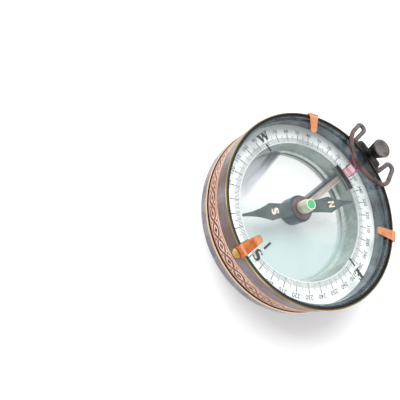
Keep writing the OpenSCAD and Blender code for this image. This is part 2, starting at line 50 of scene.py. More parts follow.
# Places on the solids that the finishes and marks follow
BASE_TOP = 5.2 * MM
BASE_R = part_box("base_ring")[1][0]
LEDGE_EDGE_R = 27.5 * MM
BAND_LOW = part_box("engraved_band")[0][2]
BAND_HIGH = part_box("engraved_band")[1][2]
BAND_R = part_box("engraved_band")[1][0]
RIM_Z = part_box("bezel_ring")[1][2]
RIM_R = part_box("bezel_ring")[1][0]
BARREL_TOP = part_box("case_barrel")[1][2]
BARREL_BORE_R = 36.7 * MM
DIAL_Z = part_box("dial_ring")[1][2]
DIAL_EDGE_R = 28.6 * MM
LENS_R = 27.0 * MM
GLASS_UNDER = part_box("cover_glass")[0][2]
GLASS_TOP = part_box("cover_glass")[1][2]
ARM_TOP = 11.0 * MM
ARM_BEARING = math.radians(-2.5)
FOOT_LOW = 8.6 * MM
FOOT_R = 27.0 * MM
LAP_LOW = 12.2 * MM
NEEDLE_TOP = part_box("needle")[1][2]
NEEDLE_BEARING = math.radians(-28.3)
CLIP_LEG_LOW = 21.6 * MM
CLIP_LEG_HIGH = 22.3 * MM
CLIP_BEND_R = 37.2 * MM
CLIP_TIP_R = 31.6 * MM
KNOB_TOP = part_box("clamp_knob")[1][2]

# Printed marks: their thickness, and the two heights of those under the cover glass
PRINT = 0.03 * MM
PRINT_LOW = GLASS_UNDER - 2 * PRINT
PRINT_HIGH = GLASS_UNDER - PRINT

# Width of every mark's bevelled edge, and the numbers' thickness and height on the dial
MARK_EDGE = 0.008 * MM
NUMBER_THICK = 0.01 * MM
NUMBER_Z = DIAL_Z + 0.01 * MM

# The seal between the cover glass and the rim
SEAL_INNER_R = 36.4 * MM
SEAL_OUTER_R = 37.3 * MM
SEAL_CROWN = 0.18 * MM
SEAL_STEPS = 144

# Colours of the glass, the floor and the light from all round
CLEAR_COVER = (0.994, 1.0, 0.998, 1)
CLEAR_LENS = (0.994, 1.0, 0.999, 1)
FLOOR_GREY = (0.92, 0.92, 0.92, 1)
SKY_COLOUR = (0.98, 0.99, 1.0, 1)
WHITE = (1, 1, 1, 1)

# The stage, with the camera as fitted to the photograph
FLOOR_SIZE = 4
FLOOR_Z = -0.02 * MM
GLOW_NEAR_R = 0.07
GLOW_FAR_R = 0.3
LAMP_AIM = Vector((0, 0, 0.01))
KEY_PLACE = Vector((-0.33, 0.17, 0.57))
KEY_SIZE = 0.5
SPARKLE_PLACE = Vector((-0.36, -0.1, 0.5))
SPARKLE_SIZE = 0.06
CAMERA_PLACE = (-0.028104, -0.092568, 0.14042)
CAMERA_TURN = (24.6514, -24.0018, 50.3710)
CAMERA_SHIFT = (-0.074, -0.166)
CAMERA_SENSOR = 36
CAMERA_NEAR = 1 * MM


# Shader arithmetic

class Wire:
    """A value in a shader. Arithmetic on it adds Math nodes."""

    def __init__(self, shader, socket):
        self.shader = shader
        self.socket = socket

    def __add__(self, other):
        return self.shader.calc("ADD", self, other)

    def __sub__(self, other):
        return self.shader.calc("SUBTRACT", self, other)

    def __rsub__(self, other):
        return self.shader.calc("SUBTRACT", other, self)

    def __mul__(self, other):
        return self.shader.calc("MULTIPLY", self, other)

    def __truediv__(self, other):
        return self.shader.calc("DIVIDE", self, other)

    def __pow__(self, other):
        return self.shader.calc("POWER", self, other)

    def __abs__(self):
        return self.shader.calc("ABSOLUTE", self)

    __radd__ = __add__
    __rmul__ = __mul__


class Shader:
    """A node tree that a look is built in."""

    def __init__(self, tree):
        self.tree = tree

    def node(self, kind, settings=None, values=None, out=0):
        """Adds a node, with its settings first and then the values or links of its sockets."""
        made = self.tree.nodes.new(kind)
        for key, value in (settings or {}).items():
            setattr(made, key, value)
        for key, value in (values or {}).items():
            self.feed(made.inputs[key], value)
        return Wire(self, made.outputs[out])

    def feed(self, socket, value):
        """Links a value to a socket, or sets the socket to a number, a colour or a web code."""
        if isinstance(value, Wire):
            self.tree.links.new(value.socket, socket)
        elif isinstance(value, str):
            socket.default_value = tint(value)
        else:
            socket.default_value = value

    def calc(self, operation, *values):
        """One Math node."""
        return self.node("ShaderNodeMath", {"operation": operation}, dict(enumerate(values)))

    def rise(self, value, low, high, start=0.0, end=1.0):
        """A smooth step from start to end as the value goes from low to high."""
        return self.node(
            "ShaderNodeMapRange", {"interpolation_type": "SMOOTHSTEP"},
            {"Value": value, "From Min": low, "From Max": high, "To Min": start, "To Max": end})

    def rays(self, first, *others):
        """1 for rays of any of these kinds, 0 for the rest."""
        path = self.tree.nodes.new("ShaderNodeLightPath")
        found = Wire(self, path.outputs[first])
        for kind in others:
            found = self.calc("MAXIMUM", found, Wire(self, path.outputs[kind]))
        return found


class Paint(Shader):
    """One material, built round its Principled shader."""

    def __init__(self, name):
        self.material = bpy.data.materials.new(name)
        self.material.use_nodes = True
        super().__init__(self.material.node_tree)
        self.principled = self.tree.nodes["Principled BSDF"]
        self.surface = self.tree.nodes["Material Output"].inputs["Surface"]

    def set(self, **sockets):
        """Feeds the Principled shader's sockets, named with underscores for spaces."""
        for name, value in sockets.items():
            self.feed(self.principled.inputs[name.replace("_", " ")], value)

    def colour(self, tone):
        """Sets the base colour."""
        self.tone = tone
        self.set(Base_Color=tone)

    def over(self, share, tone):
        """Lays another colour over the base colour, by this share."""
        self.colour(self.blend(share, self.tone, tone))

    def dress(self, *names):
        """Gives CAD nodes this finish."""
        for name in names:
            piece = NODES[name]
            piece.data.materials.clear()
            piece.data.materials.append(self.material)

    def place(self):
        """The point on the surface, in the object's own metres."""
        return self.node("ShaderNodeTexCoord", out="Object")

    def length(self, x, y):
        return self.calc("SQRT", x * x + y * y)

    def point(self, x, y, z):
        return self.node("ShaderNodeCombineXYZ", values={0: x, 1: y, 2: z})

    def bearing(self, x, y):
        """Angle round the case's axis from +X, in radians."""
        return self.calc("ARCTAN2", y, x)

    def within(self, value, width, soft):
        """1 where the value is under the width, 0 past it."""
        return self.rise(value, width - soft / 2, width + soft / 2, 1.0, 0.0)

    def noise(self, where, scale, detail, rough=0.55):
        return self.node("ShaderNodeTexNoise", values={
            "Vector": where, "Scale": scale, "Detail": detail, "Roughness": rough})

    def blend(self, factor, low, high):
        """A colour between two colours."""
        return self.node("ShaderNodeMix", {"data_type": "RGBA"},
                         {0: factor, 6: low, 7: high}, out=2)

    def bump(self, height, depth, strength):
        return self.node("ShaderNodeBump", values={
            "Strength": strength, "Distance": depth, "Height": height})

    def mix(self, share, low, high):
        """Shows one shader under another, by the share of the second."""
        both = self.node("ShaderNodeMixShader", values={0: share, 1: low, 2: high})
        self.feed(self.surface, both)

    def see_through(self, clear, film):
        """Clear glass under a gloss that grows towards grazing angles, with a share of film."""
        through = self.node("ShaderNodeBsdfTransparent", values={"Color": clear})
        facing = self.node("ShaderNodeLayerWeight", values={"Blend": 0.5}, out="Facing")
        gloss = facing ** 5.0 * 0.96 + 0.04
        share = self.calc("MINIMUM", gloss + film, 1.0)
        self.mix(share, through, Wire(self, self.principled.outputs[0]))


class Place:
    """The shaded point: x, y and z in metres, and r, its distance from the case's axis."""

    def __init__(self, paint):
        split = paint.tree.nodes.new("ShaderNodeSeparateXYZ")
        paint.feed(split.inputs[0], paint.place())
        self.x, self.y, self.z = [Wire(paint, socket) for socket in split.outputs]
        self.r = paint.length(self.x, self.y)


def tint(code):
    """A linear colour from its web code."""
    parts = [int(code[i:i + 2], 16) / 255 for i in (1, 3, 5)]
    linear = [p / 12.92 if p <= 0.04045 else ((p + 0.055) / 1.055) ** 2.4 for p in parts]
    return (*linear, 1.0)


def paler(colour, keep, lift):
    """A paler version of a setting's linear colour."""
    return (*[part * keep + lift for part in colour], 1.0)


# Kinds of finish

def turned_metal(name, pale, deep, rough, metallic, grain=0.25, patches=120.0):
    """Lathe-turned metal: fine rings round the axis under an uneven patina."""
    paint = Paint(name)
    at = Place(paint)
    rings = paint.noise(paint.point(at.r, 0.0, at.z), 9000.0, 2.0)
    patina = paint.noise(paint.place(), patches, 5.0, 0.6)
    spots = paint.noise(paint.place(), patches * 9, 3.0)
    mask = paint.rise(patina * 0.7 + spots * 0.3, 0.35, 0.65)
    paint.colour(paint.blend(mask, deep, pale))
    paint.set(Metallic=metallic,
              Roughness=rough + (rings - 0.5) * grain + (0.5 - mask) * 0.12,
              Normal=paint.bump(rings + spots * 0.4, 0.01 * MM, 0.5))
    return paint


def plain_metal(name, pale, deep, rough, metallic=1.0):
    """Worked metal without turning marks: soft patches and a fine bump."""
    paint = Paint(name)
    where = paint.place()
    patches = paint.noise(where, 260.0, 4.0, 0.6)
    grain = paint.noise(where, 3640.0, 2.0)
    mask = paint.rise(patches * 0.75 + grain * 0.25, 0.36, 0.64)
    paint.colour(paint.blend(mask, deep, pale))
    paint.set(Metallic=metallic, Roughness=rough + (grain - 0.5) * 0.16,
              Normal=paint.bump(grain * 0.5 + patches, 0.01 * MM, 0.5))
    return paint


def printed(name, pale, deep):
    """A printed mark: flat colour with fine wear."""
    paint = Paint(name)
    speck = paint.noise(paint.place(), 900.0, 3.0)
    paint.colour(paint.blend(paint.rise(speck, 0.3, 0.7), deep, pale))
    paint.set(Roughness=0.45 + (speck - 0.5) * 0.2)
    return paint


# Finishes of the pieces

def finish_base():
    """Patina, with painted shade on the brown top face, a painted highlight on the bright bevel,
    and the bore wall under the lens painted pale as if lit.
    """
    metallic = 0.9
    paint = turned_metal("Base Patina", "#a39da3", "#6f6970", rough=0.3, metallic=metallic)
    at = Place(paint)
    # Painted shade: the top face, in the groove under the band, is painted dark brown.
    top = paint.rise(at.z, BASE_TOP - 0.05 * MM, BASE_TOP - 0.02 * MM)
    # Painted highlight: a bright line on the bevel at the outer top edge.
    bevel = paint.rise(at.z, BASE_TOP - 0.55 * MM, BASE_TOP - 0.4 * MM) \
        * paint.rise(at.r, BASE_R - 0.5 * MM, BASE_R - 0.35 * MM)
    # Painted light: the bore wall under the lens is painted pale and not metal, as if lit.
    lit_ledge = paint.within(at.r, LEDGE_EDGE_R, 0.5 * MM)
    paint.over(top, "#3a2220")
    paint.over(bevel, "#ecd2b4")
    paint.over(lit_ledge, "#dfe9e6")
    paint.set(Metallic=metallic - lit_ledge * metallic)
    paint.dress("base_ring")


def finish_bezel():
    """Patina with upright brown patches and a worn gilt edge at the rim."""
    paint = turned_metal("Bezel Patina", "#a2979b", "#6d6267", rough=0.34, metallic=0.9)
    at = Place(paint)
    streaks = paint.noise(paint.point(at.x, at.y, at.z * 0.2), 60.0, 2.0)
    top = paint.rise(at.z, RIM_Z - 0.1 * MM, RIM_Z - 0.02 * MM)
    edge = paint.rise(at.z, RIM_Z - 0.26 * MM, RIM_Z - 0.18 * MM) \
        * paint.rise(at.r, RIM_R - 0.26 * MM, RIM_R - 0.18 * MM)
    worn = paint.noise(paint.point(at.x, at.y, 0.0), 55.0, 2.0)
    gilt = paint.blend(paint.rise(worn, 0.4, 0.62), "#a98f5c", "#f0dc92")
    paint.over(paint.rise(streaks, 0.35, 0.65, 1.0, 0.0), "#6b5850")
    paint.over(top, "#6a6250")
    paint.over(edge, gilt)
    paint.dress("bezel_ring")


def finish_barrel():
    """Glossy lacquer with upright light and dark streaks, partly uneven lacquer and partly painted
    reflections, and painted shade darkening it towards the top.
    """
    paint = Paint("Barrel Lacquer")
    at = Place(paint)
    bands = paint.noise(paint.point(at.x * 0.35, at.y * 0.35, at.z), 300.0, 2.0)
    streaks = paint.noise(paint.point(at.x, at.y, at.z * 0.15), 110.0, 3.0)
    grain = paint.noise(paint.place(), 3000.0, 2.0)
    # The light and dark streaks are partly uneven lacquer and partly painted reflections.
    mask = paint.rise(bands * 0.3 + streaks * 0.7, 0.34, 0.68)
    # Painted shade: the top of the barrel, under the rim, is darkened.
    rim = paint.rise(at.z, BARREL_TOP - 0.9 * MM, BARREL_TOP - 0.1 * MM)
    paint.colour(paint.blend(mask, "#36424a", "#8e9ea6"))
    paint.over(rim * 0.6, "#14181b")
    paint.set(Metallic=0.75, Roughness=0.2 + (grain - 0.5) * 0.12 + mask * 0.08,
              Normal=paint.bump(bands, 0.02 * MM, 0.3),
              Coat_Weight=0.4, Coat_Roughness=0.06)
    paint.dress("case_barrel", "glass_seat")


def finish_band(waves, swing, strand):
    """Copper engraved with woven waves, petals, dots and two lines. Lengths are millimetres."""
    petal_reach = 0.62
    petal_r = 0.48
    dot_high = 2.3
    dot_r = 0.5
    line_high = 3.5
    line_half = 0.17
    gap = strand + 0.25
    soft = 0.12
    paint = turned_metal("Band Copper", "#ffd8c4", "#efae93", rough=0.3, metallic=0.8,
                         grain=0.2, patches=70.0)
    at = Place(paint)
    period = math.tau * (BAND_R / MM) / waves
    steep = swing * math.tau / period
    phase = paint.bearing(at.x, at.y) * waves
    high = (at.z - (BAND_LOW + BAND_HIGH) / 2) / MM
    tall = abs(high)

    # Two strands that pass over and under each other, with a gap beside the upper one
    wave = paint.calc("SINE", phase) * swing
    lean = paint.calc("COSINE", phase)
    slope = paint.calc("SQRT", lean * lean * (steep * steep) + 1.0)
    first = abs(high - wave) / slope
    second = abs(high + wave) / slope
    first_on_top = paint.rise(lean, -0.05, 0.05)
    by_first = paint.within(first, gap, soft) * first_on_top
    by_second = paint.within(second, gap, soft) * (1 - first_on_top)
    cut = paint.calc("MAXIMUM", paint.within(first, strand, soft) * (1 - by_second),
                     paint.within(second, strand, soft) * (1 - by_first))

    # Four petals in each eye of the weave, a dot above and below each crossing, and two lines
    half_turn = phase / math.pi
    eye = abs(paint.calc("FRACT", half_turn) - 0.5) * (period / 2)
    crossing = (paint.calc("FRACT", half_turn + 0.5) - 0.5) * (period / 2)
    petals = paint.calc("MINIMUM", paint.length(eye - petal_reach, tall),
                        paint.length(eye, tall - petal_reach))
    dots = paint.length(crossing, tall - dot_high)
    lines = abs(tall - line_high)
    for shape, half in ((petals, petal_r), (dots, dot_r), (lines, line_half)):
        cut = paint.calc("MAXIMUM", cut, paint.within(shape, half, soft))

    wear = paint.noise(paint.place(), 700.0, 2.0)
    cut = cut * paint.rise(wear, 0.25, 0.6, 0.75, 1.0)
    aged = paint.rise(paint.noise(paint.place(), 28.0, 3.0), 0.42, 0.66)
    paint.over(aged * 0.6, "#cf8360")
    paint.over(cut, "#3b1710")
    paint.set(Normal=paint.bump(1 - cut, 0.12 * MM, 0.8))
    paint.dress("engraved_band")


def finish_dial():
    """White enamel, a little uneven, and greyer at its inner edge, where shade is painted."""
    paint = Paint("Dial Enamel")
    cloud = paint.noise(paint.place(), 90.0, 4.0)
    fine = paint.noise(paint.place(), 2600.0, 2.0)
    # Painted shade: the dial is painted greyer at its inner edge.
    edge = paint.within(Place(paint).r, DIAL_EDGE_R, 0.5 * MM)
    paint.colour(paint.blend(paint.rise(cloud, 0.3, 0.7), "#eef3f5", "#fcfdfd"))
    paint.over(edge * 0.5, "#b4bfc0")
    paint.set(Metallic=0.0, Roughness=0.35 + (fine - 0.5) * 0.2,
              Normal=paint.bump(fine, 0.004 * MM, 0.4))
    paint.dress("dial_ring")


def dial_ink(colour):
    """Ink that is faded in places."""
    paint = Paint("Dial Ink")
    fade = paint.noise(paint.place(), 500.0, 3.0)
    worn = paint.rise(fade, 0.4, 0.75, 0.0, 0.6)
    paint.colour(paint.blend(worn, (*colour, 1.0), paler(colour, 0.6, 0.2)))
    paint.set(Roughness=0.5 + (fade - 0.5) * 0.2)
    return paint


def finish_cover():
    """Clear glass with faint smears."""
    paint = Paint("Cover Glass")
    smear = paint.noise(paint.place(), 45.0, 3.0)
    film = paint.rise(smear, 0.5, 0.8)
    paint.colour(paint.blend(smear, (0.93, 0.97, 0.97, 1), WHITE))
    paint.set(Metallic=1.0, Roughness=0.03 + film * 0.05)
    paint.see_through(CLEAR_COVER, film * 0.015)
    paint.dress("cover_glass")


def finish_lens():
    """Clear at the north-west and greener to the south-east, with grey streaks at the west that
    are a painted reflection.
    """
    paint = Paint("Lens Glass")
    at = Place(paint)
    slant = (at.x * 0.72 - at.y * 0.7) / MM
    cloud = paint.noise(paint.place(), 60.0, 3.0)
    green = paint.rise(slant + (cloud - 0.5) * 14.0, -12.0, 14.0)
    pool = paint.blend(green, "#ffffff", "#bed6d6")

    # Painted reflection: grey streaks at the west, shown partly as film over the clear glass.
    across = at.x * 0.98 + at.y * 0.2
    along = at.y * 0.98 - at.x * 0.2
    reflection_streak = paint.noise(paint.point(across, along * 0.12, 0.0), 420.0, 3.0)
    west = paint.rise(across, -19.8 * MM, -18.0 * MM, 1.0, 0.0) \
        * paint.rise(along, -13.0 * MM, -5.0 * MM)
    deep = paint.rise(reflection_streak + along / MM * 0.02, 0.5, 0.86)
    paint.colour(paint.blend(west, pool, paint.blend(deep, "#c9cbd6", "#6a737b")))

    fine = paint.noise(paint.place(), 2000.0, 2.0)
    paint.set(Metallic=0.0, Roughness=0.06 + (fine - 0.5) * 0.04)
    # The film is greener to the south-east, and at the west it carries the painted reflection.
    paint.see_through(CLEAR_LENS, green * 0.4 + west * (0.42 + deep * 0.33) + 0.06)
    paint.dress("magnifier_lens")


def finish_arm():
    """Drawn bronze on top, with a painted highlight along its east edge and painted shade to the
    west, on the sides and on the lap; its foot is painted like the wall, with painted shade
    towards its top.
    """
    metallic = 0.7
    paint = plain_metal("Arm Bronze", "#c4b6b0", "#a0928e", rough=0.32, metallic=metallic)
    at = Place(paint)
    across = (at.x - at.y * math.tan(-ARM_BEARING)) / MM
    drawn = paint.noise(paint.point(across * 0.4, at.y * 20, 0.0), 3.0, 3.0)
    # Painted highlight: a pale strip along the east edge of the top.
    east = paint.rise(across, 1.35, 1.5)
    # The top face, less a strip at its west; everything outside it gets painted shade.
    face = paint.rise(at.z, ARM_TOP - 0.12 * MM, ARM_TOP - 0.04 * MM) \
        * paint.rise(across, -0.75, -0.55)
    # Painted shade: the foot is painted like the wall, darker towards its top, and darker still on
    # its top face.
    foot = paint.rise(at.r, FOOT_R - 0.1 * MM, FOOT_R)
    foot_top_shade = paint.rise(at.z, ARM_TOP - 0.08 * MM, ARM_TOP - 0.03 * MM)
    wall = paint.blend(paint.rise(at.z, FOOT_LOW, ARM_TOP - 0.1 * MM), "#b4c0ba", "#98a49f")
    # Painted shade: the lap is painted near black, standing in for the shadowed gap under the
    # dial's edge.
    lap = paint.rise(at.z, LAP_LOW, LAP_LOW + 0.2 * MM)
    paint.over(paint.rise(drawn, 0.4, 0.6), "#cfc6b2")
    paint.over(east, "#d9d3c6")
    paint.over(1 - face, "#48525a")
    paint.over(foot, paint.blend(foot_top_shade, wall, "#88948f"))
    paint.over(lap, "#050607")
    paint.set(Metallic=metallic - lap * 0.6)
    paint.dress("pivot_arm")


def finish_jewel():
    """Glossy green with cloudy depth."""
    paint = Paint("Jewel Green")
    depth = paint.noise(paint.place(), 800.0, 2.0)
    paint.colour(paint.blend(depth, "#159058", "#34c488"))
    paint.set(Roughness=0.12 + depth * 0.1, Coat_Weight=0.2, Coat_Roughness=0.04)
    paint.dress("cap_jewel")


def finish_clips():
    """Copper, painted paler to the north as painted light, with painted highlights at the fold
    over the rim and at the inner end, and painted shade down the upright side.
    """
    paint = plain_metal("Clip Copper", "#ee935c", "#c96534", rough=0.25)
    at = Place(paint)
    # Painted light: the north clip is paler, as if lit more.
    north = paint.rise(at.y, -20 * MM, 10 * MM)
    # Painted highlight: a paler band where the clip folds over the rim.
    bend_highlight = paint.within(abs(at.r - CLIP_BEND_R), 0.55 * MM, 0.5 * MM)
    # Painted shade: darker down the clip's upright side.
    leg_shade = paint.rise(at.z, CLIP_LEG_LOW, CLIP_LEG_HIGH, 1.0, 0.0)
    # Painted highlight: paler at the clip's inner end.
    tip_highlight = paint.within(at.r, CLIP_TIP_R, 1.6 * MM)
    paint.over(north * 0.4, "#ffc49c")
    paint.over(bend_highlight * 0.7, "#ffb98a")
    paint.over(leg_shade, "#8f4a26")
    paint.over(tip_highlight * 0.45, "#ffc79a")
    paint.dress("glass_clip_1", "glass_clip_2", "glass_clip_3")


def finish_bow():
    """Brown, and greyer at its curls."""
    paint = plain_metal("Bow Brown", "#77615f", "#493736", rough=0.28, metallic=0.6)
    paint.over(paint.rise(Place(paint).y, 34 * MM, 42 * MM) * 0.75, "#70706e")
    paint.dress("bow")


def finish_knob():
    """Bronze on the face, with painted shade making the fluted side nearly black."""
    paint = plain_metal("Knob Bronze", "#8a8582", "#57504c", rough=0.32, metallic=0.8)
    # Painted shade: the fluted side is darkened nearly to black.
    side = paint.rise(Place(paint).z, KNOB_TOP - 0.5 * MM, KNOB_TOP - 0.1 * MM, 1.0, 0.0)
    paint.over(side * 0.8, "#221e1b")
    paint.dress("clamp_knob", "clamp_spindle")


# Modelling

def deselect():
    """Leaves edit mode and selects nothing."""
    if bpy.context.object and bpy.context.object.mode != "OBJECT":
        bpy.ops.object.mode_set(mode="OBJECT")
    bpy.ops.object.select_all(action="DESELECT")


def settle(name, body, material):
    """Applies the active piece's place, names it, and lets it ride on its body."""
    piece = bpy.context.object
    bpy.ops.object.transform_apply(location=True, rotation=True, scale=True)
    piece.name = name
    piece.data.name = name
    piece.data.materials.clear()
    piece.data.materials.append(material)
    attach(piece, body)


def flat_mark(points, low, high):
    """A thin raised mark with this outline and a bevelled upper edge."""
    deselect()
    bpy.ops.mesh.primitive_circle_add(vertices=len(points), radius=1 * MM, fill_type="NGON")
    piece = bpy.context.object
    for vertex, (x, y) in zip(piece.data.vertices, points):
        vertex.co = (x * MM, y * MM, low)
    bpy.ops.object.mode_set(mode="EDIT")
    bpy.ops.mesh.select_all(action="SELECT")
    bpy.ops.mesh.extrude_region_move(TRANSFORM_OT_translate={"value": (0, 0, high - low)})
    bpy.ops.mesh.bevel(offset=MARK_EDGE, segments=1, affect="EDGES")
    bpy.ops.mesh.select_all(action="SELECT")
    bpy.ops.mesh.normals_make_consistent(inside=False)
    bpy.ops.object.mode_set(mode="OBJECT")
    return piece


def stroke(start, end, wide):
    """The outline of a straight stroke with slightly cut corners, in millimetres."""
    run = math.dist(start, end)
    along = ((end[0] - start[0]) / run, (end[1] - start[1]) / run)
    side = (-along[1], along[0])
    cut = wide * 0.15
    steps = ((0, wide / 2 - cut), (cut, wide / 2), (run - cut, wide / 2), (run, wide / 2 - cut))
    half = [(start[0] + along[0] * a + side[0] * b, start[1] + along[1] * a + side[1] * b)
            for a, b in steps]
    other = [(start[0] + along[0] * a - side[0] * b, start[1] + along[1] * a - side[1] * b)
             for a, b in reversed(steps)]
    return half + other


def ribbon(points, widths):
    """The outline of a curved stroke whose width changes along it."""
    left, right = [], []
    for i, (point, width) in enumerate(zip(points, widths)):
        before = points[max(i - 1, 0)]
        after = points[min(i + 1, len(points) - 1)]
        run = math.dist(before, after)
        side = ((before[1] - after[1]) / run, (after[0] - before[0]) / run)
        left.append((point[0] + side[0] * width / 2, point[1] + side[1] * width / 2))
        right.append((point[0] - side[0] * width / 2, point[1] - side[1] * width / 2))
    return left + right[::-1]


def spin_round(steps, copies):
    """Spins the active mesh once round the case's axis, as one skin or as copies."""
    bpy.ops.object.mode_set(mode="EDIT")
    bpy.ops.mesh.select_all(action="SELECT")
    bpy.ops.mesh.spin(steps=steps, angle=math.tau, center=(0, 0, 0), axis=(0, 0, 1), dupli=copies)
    bpy.ops.mesh.select_all(action="SELECT")
    bpy.ops.mesh.remove_doubles(threshold=0.001 * MM)
    bpy.ops.mesh.normals_make_consistent(inside=False)
    bpy.ops.object.mode_set(mode="OBJECT")


def tick_ring(name, count, inner, outer, width, lift, material):
    """A ring of equal radial marks on the dial: one mark, spun round the axis."""
    flat_mark(stroke((0, inner / MM), (0, outer / MM), width / MM), DIAL_Z, DIAL_Z + lift)
    spin_round(count, True)
    settle(name, "case", material)


def lettering(words, height, bold):
    """A line of marks as a mesh, centred on the origin and flat on XY."""
    digit_share = 0.7
    deselect()
    bpy.ops.object.text_add(location=(0, 0, 0))
    text = bpy.context.object.data
    text.body = words
    text.align_x = "CENTER"
    text.align_y = "CENTER"
    text.size = height / digit_share
    text.offset = bold
    text.extrude = NUMBER_THICK / 2
    text.resolution_u = 4
    bpy.ops.object.convert(target="MESH")
    bpy.ops.object.origin_set(type="ORIGIN_GEOMETRY", center="BOUNDS")
    bpy.context.object.location = (0, 0, 0)
    return bpy.context.object


def turned_ring(profile, steps):
    """A ring turned round the case's axis from its closed profile of (radius, height) points."""
    deselect()
    bpy.ops.mesh.primitive_circle_add(vertices=len(profile), radius=1 * MM)
    for vertex, (r, z) in zip(bpy.context.object.data.vertices, profile):
        vertex.co = (r, 0, z)
    spin_round(steps, False)
    bpy.ops.object.shade_smooth_by_angle(angle=math.radians(40))


def put_at(piece, bearing, reach, z):
    """Stands a flat mark at a bearing, with its top outwards, and applies that."""
    piece.rotation_euler = (0, 0, bearing)
    piece.location = (-reach * math.sin(bearing), reach * math.cos(bearing), z)
    bpy.ops.object.transform_apply(location=True, rotation=True, scale=True)
    return piece


def join(pieces):
    """Joins mesh pieces into the first of them."""
    deselect()
    for piece in pieces:
        piece.select_set(True)
    bpy.context.view_layer.objects.active = pieces[0]
    bpy.ops.object.join()


# Serif letters, as outlines in millimetres about their own middle

LETTER_W = [
    (-2.95, 1.85), (-0.6, 1.85), (-0.6, 1.55), (-1.05, 1.55), (-0.62, -0.35), (-0.12, 1.2),
    (-0.3, 1.85), (1.3, 1.85), (1.3, 1.55), (1.05, 1.55), (1.6, -0.4), (2.05, 1.55),
    (1.6, 1.55), (1.6, 1.85), (2.95, 1.85), (2.95, 1.55), (2.55, 1.55), (1.5, -1.85),
    (0.95, -1.85), (0.12, 0.45), (-0.85, -1.85), (-1.45, -1.85), (-2.45, 1.55),
    (-2.95, 1.55)]
LETTER_E = [
    (-1.8, 2.35), (1.45, 2.35), (1.6, 1.0), (1.25, 1.0), (0.85, 1.85), (0.3, 1.9),
    (0.3, 0.3), (0.5, 0.3), (0.7, 0.75), (1.0, 0.75), (1.0, -0.75), (0.7, -0.75),
    (0.5, -0.3), (0.3, -0.3), (0.3, -1.9), (0.9, -1.85), (1.4, -0.9), (1.75, -0.9),
    (1.55, -2.35), (-1.8, -2.35), (-1.8, -2.0), (-1.35, -1.95), (-1.35, 1.95), (-1.8, 2.0)]
LETTER_N = [
    (-3.4, 1.9), (-1.7, 1.9), (2.2, -1.0), (2.0, 1.62), (1.4, 1.62), (1.4, 1.9),
    (3.1, 1.9), (3.1, 1.62), (2.4, 1.62), (2.65, -1.9), (2.1, -1.9), (-2.25, 1.35),
    (-2.7, -1.6), (-2.1, -1.62), (-2.1, -1.9), (-3.75, -1.9), (-3.75, -1.62),
    (-3.1, -1.6), (-2.68, 1.62), (-3.4, 1.62)]
PLAIN_N = [
    (-1.25, 1.55), (-0.55, 1.55), (0.62, -0.45), (0.62, 1.55), (1.25, 1.55), (1.25, -1.55),
    (0.58, -1.55), (-0.62, 0.5), (-0.62, -1.55), (-1.25, -1.55)]


def letter_s(thin=0.36, swell=0.95, size=1.0):
    """The outline of an S: two bowls drawn in one thick and thin stroke."""
    wide = 1.15 * size
    tall = 0.88 * size
    bowl_start = 25
    bowl_end = 270
    bowl_step = 20
    swell_reach = 0.72
    serif_start = 0.86
    serif = 0.5
    upper = [math.radians(a) for a in range(bowl_start, bowl_end, bowl_step)]
    points = [(wide * math.cos(a), tall + tall * math.sin(a)) for a in upper]
    points += [(-x, -y) for x, y in reversed(points[:-1])]
    last = len(points) - 1
    widths = []
    for i in range(len(points)):
        along = abs(2 * i / last - 1)
        end = max(0.0, along - serif_start) / (1 - serif_start)
        middle = math.cos(min(along / swell_reach, 1) * math.pi / 2)
        widths.append(thin + swell * middle * size + serif * end * size)
    return ribbon(points, widths)


# Added pieces

def add_dial_marks(marks):
    """The degree marks and the numbers at every ten degrees."""
    ink = dial_ink(marks.ink)
    for name, count, outer, width, lift in (
            ("fine_marks", 360, marks.fine_outer, 0.21 * MM, 0.02 * MM),
            ("middle_marks", 72, marks.mid_outer, 0.25 * MM, 0.025 * MM),
            ("long_marks", 36, marks.long_outer, 0.33 * MM, 0.03 * MM)):
        tick_ring(name, count, marks.start, outer, width, lift, ink.material)
    bold = 0.025 * MM
    numbers = []
    for number in range(0, 360, 10):
        piece = lettering(str(number), marks.number_height, bold)
        numbers.append(put_at(piece, math.radians(number), marks.number_reach, NUMBER_Z))
    join(numbers)
    settle("dial_numbers", "case", ink.material)


def add_seal():
    """A black seal with a round crown, between the cover glass and the rim."""
    seal = plain_metal("Seal Black", "#1d2124", "#0e1113", rough=0.45, metallic=0.0)
    half = (SEAL_OUTER_R - SEAL_INNER_R) / 2
    steps = 10
    crown = [(SEAL_INNER_R + half - half * math.cos(math.pi * i / steps),
              GLASS_TOP + 0.02 * MM + SEAL_CROWN * math.sin(math.pi * i / steps))
             for i in range(steps + 1)]
    wall_r = BARREL_BORE_R + 0.05 * MM
    over_glass = GLASS_TOP + 0.01 * MM
    over_barrel = BARREL_TOP + 0.03 * MM
    foot = [(SEAL_OUTER_R, over_barrel), (wall_r, over_barrel),
            (wall_r - 0.1 * MM, over_glass), (SEAL_INNER_R, over_glass)]
    turned_ring(crown + foot, SEAL_STEPS)
    settle("glass_seal", "case", seal.material)


def add_letters(marks):
    """The letters W, S and E under the cover glass, each with its bar towards the middle."""
    black = printed("Letter Black", "#0e1213", "#050708")
    letter_e = [(x * 0.78, y * 0.9) for x, y in LETTER_E]
    aside = 0.85
    bar_length = marks.bar_length / MM
    bar_width = marks.bar_width / MM
    letters = []
    for outline, degrees, reach, bar_start, bar_x in (
            (LETTER_W, 90, 32.15, 25.9, -aside), (letter_s(), 180, 31.85, 24.9, 0.0),
            (letter_e, 267.1, 31.4, 24.7, aside)):
        piece = flat_mark(outline, PRINT_LOW, PRINT_HIGH)
        letters.append(put_at(piece, math.radians(degrees), reach * MM, 0))
        bar = stroke((bar_x, bar_start), (bar_x, bar_start + bar_length), bar_width)
        piece = flat_mark(bar, PRINT_LOW, PRINT_HIGH)
        letters.append(put_at(piece, math.radians(round(degrees / 90) * 90), 0, 0))
    join(letters)
    settle("glass_letters", "case", black.material)


